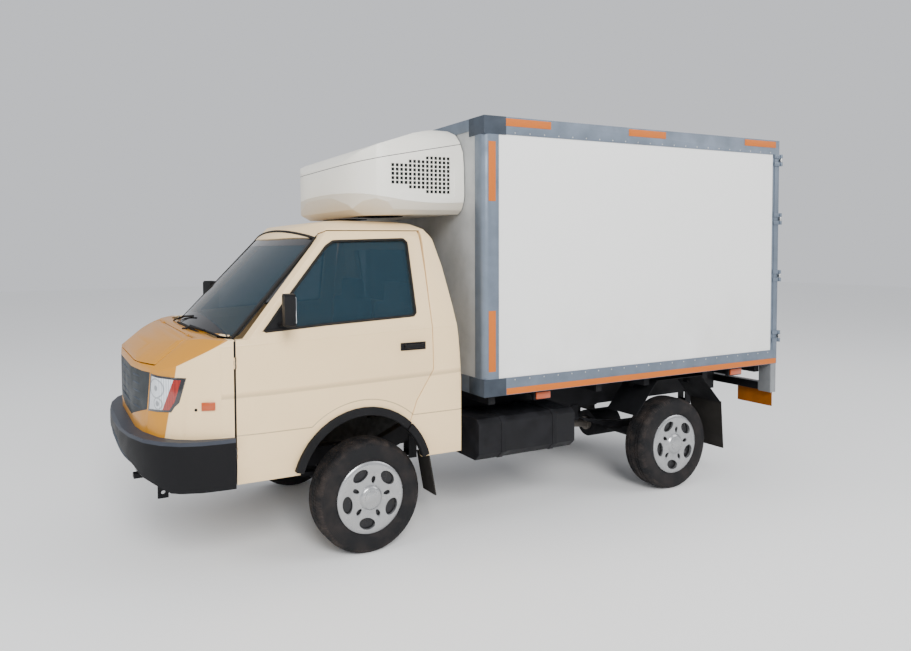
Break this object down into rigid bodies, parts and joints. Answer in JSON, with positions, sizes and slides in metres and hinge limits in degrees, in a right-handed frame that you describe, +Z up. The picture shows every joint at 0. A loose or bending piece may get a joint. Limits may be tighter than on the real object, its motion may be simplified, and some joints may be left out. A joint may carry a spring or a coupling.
{
  "type": "refrigerated box truck",
  "caption": "Light refrigerated truck with a short-nosed cab, insulated box, nose-mounted cooling unit, opening doors and bonnet, and wheels that roll and steer.",
  "frame": {"origin": "on the ground under the middle of the overall length and width", "axes": "+X to the front of the truck, +Y to its left, +Z up"},
  "size_m": [4.89, 1.9388, 2.601],
  "materials": {
    "cream_paint": "gloss",
    "orange_paint": "gloss",
    "black_paint": "satin",
    "black_plastic": "matte",
    "grey_plastic": "satin",
    "clear_lens": "gloss",
    "red_lens": "gloss",
    "glass": "gloss",
    "cast": "rough",
    "steel": "satin",
    "silver_paint": "satin",
    "tyre": "matte",
    "white_panel": "gloss",
    "alu_edge": "satin",
    "unit_white": "satin",
    "seat_fabric": "woven",
    "rubber": "matte",
    "orange_flap": "matte"
  },
  "bodies": {
    "chassis": {"frame_rails": "black_paint", "cross_members": "black_paint", "engine": "cast", "exhaust": "steel", "fuel_tank": "black_paint", "propshaft": "steel", "front_axle": "black_paint", "leaf_springs": "black_paint", "rear_axle": "black_paint", "cab_shell": "cream_paint", "bumper": "black_plastic", "grille": "grey_plastic", "headlamps": "clear_lens", "windshield": "glass", "rear_window": "glass", "dashboard": "black_plastic", "seats": "seat_fabric", "box_frame": "alu_edge", "box_floor": "alu_edge", "box_sides": "white_panel", "box_front_wall": "white_panel", "box_roof": "white_panel", "box_bearers": "black_paint", "evaporator": "alu_edge", "unit_housing": "unit_white", "unit_grilles": "black_plastic", "rear_mudguards": "black_plastic", "mud_flaps": "rubber", "rear_bumper": "black_paint", "rear_flaps": "orange_flap", "tail_lamps": "red_lens"},
    "bonnet": {"bonnet": "orange_paint"},
    "steering_wheel": {"steering_wheel": "black_plastic"},
    "door_left": {"door_left": "cream_paint", "door_glass_left": "glass", "mirror_left": "black_plastic"},
    "door_right": {"door_right": "cream_paint", "door_glass_right": "glass", "mirror_right": "black_plastic"},
    "knuckle_left": {"knuckle_left": "black_paint"},
    "knuckle_right": {"knuckle_right": "black_paint"},
    "tie_rod": {"tie_rod": "black_paint"},
    "box_door_left": {"box_door_left": "white_panel", "door_gear_left": "alu_edge"},
    "box_door_right": {"box_door_right": "white_panel", "door_gear_right": "alu_edge"},
    "wheel_front_left": {"tyre_front_left": "tyre", "rim_front_left": "silver_paint"},
    "wheel_front_right": {"tyre_front_right": "tyre", "rim_front_right": "silver_paint"},
    "wheel_rear_left": {"tyre_rear_left": "tyre", "rim_rear_left": "silver_paint"},
    "wheel_rear_right": {"tyre_rear_right": "tyre", "rim_rear_right": "silver_paint"}
  },
  "joints": [
    {"name": "steer_left", "type": "hinge", "parent": "chassis", "child": "knuckle_left", "pos_m": [1.09, 0.535, 0.336], "axis": [0, 0, 1], "range_deg": [-35, 35]},
    {"name": "steer_right", "type": "hinge", "parent": "chassis", "child": "knuckle_right", "pos_m": [1.09, -0.535, 0.336], "axis": [0, 0, 1], "range_deg": [-35, 35]},
    {"name": "tie_rod_pivot", "type": "hinge", "parent": "knuckle_left", "child": "tie_rod", "pos_m": [0.96, 0.535, 0.27], "axis": [0, 0, 1], "range_deg": [-35, 35]},
    {"name": "steering_wheel_turn", "type": "hinge", "parent": "chassis", "child": "steering_wheel", "pos_m": [1.67, -0.365, 1.195], "axis": [-0.5736, 0, 0.8192], "range_deg": [-490, 490]},
    {"name": "wheel_front_left_spin", "type": "hinge", "parent": "knuckle_left", "child": "wheel_front_left", "pos_m": [1.09, 0.655, 0.336], "axis": [0, 1, 0], "continuous": true},
    {"name": "wheel_rear_left_spin", "type": "hinge", "parent": "chassis", "child": "wheel_rear_left", "pos_m": [-1.41, 0.655, 0.336], "axis": [0, 1, 0], "continuous": true},
    {"name": "wheel_front_right_spin", "type": "hinge", "parent": "knuckle_right", "child": "wheel_front_right", "pos_m": [1.09, -0.655, 0.336], "axis": [0, 1, 0], "continuous": true},
    {"name": "wheel_rear_right_spin", "type": "hinge", "parent": "chassis", "child": "wheel_rear_right", "pos_m": [-1.41, -0.655, 0.336], "axis": [0, 1, 0], "continuous": true},
    {"name": "door_left_swing", "type": "hinge", "parent": "chassis", "child": "door_left", "pos_m": [1.902, 0.788, 0.9], "axis": [0, 0, -1], "range_deg": [0, 65]},
    {"name": "door_right_swing", "type": "hinge", "parent": "chassis", "child": "door_right", "pos_m": [1.902, -0.788, 0.9], "axis": [0, 0, 1], "range_deg": [0, 65]},
    {"name": "box_door_left_swing", "type": "hinge", "parent": "chassis", "child": "box_door_left", "pos_m": [-2.399, 0.86, 1.7], "axis": [0, 0, -1], "range_deg": [0, 240]},
    {"name": "box_door_right_swing", "type": "hinge", "parent": "chassis", "child": "box_door_right", "pos_m": [-2.399, -0.86, 1.7], "axis": [0, 0, 1], "range_deg": [0, 240]},
    {"name": "bonnet_lift", "type": "hinge", "parent": "chassis", "child": "bonnet", "pos_m": [2.072, 0, 1.318], "axis": [0, -1, 0], "range_deg": [0, 50]}
  ],
  "couplings": [
    {"joint": "steer_right", "follows": "steer_left", "ratio": 1},
    {"joint": "tie_rod_pivot", "follows": "steer_left", "ratio": -1},
    {"joint": "steering_wheel_turn", "follows": "steer_left", "ratio": 14}
  ]
}
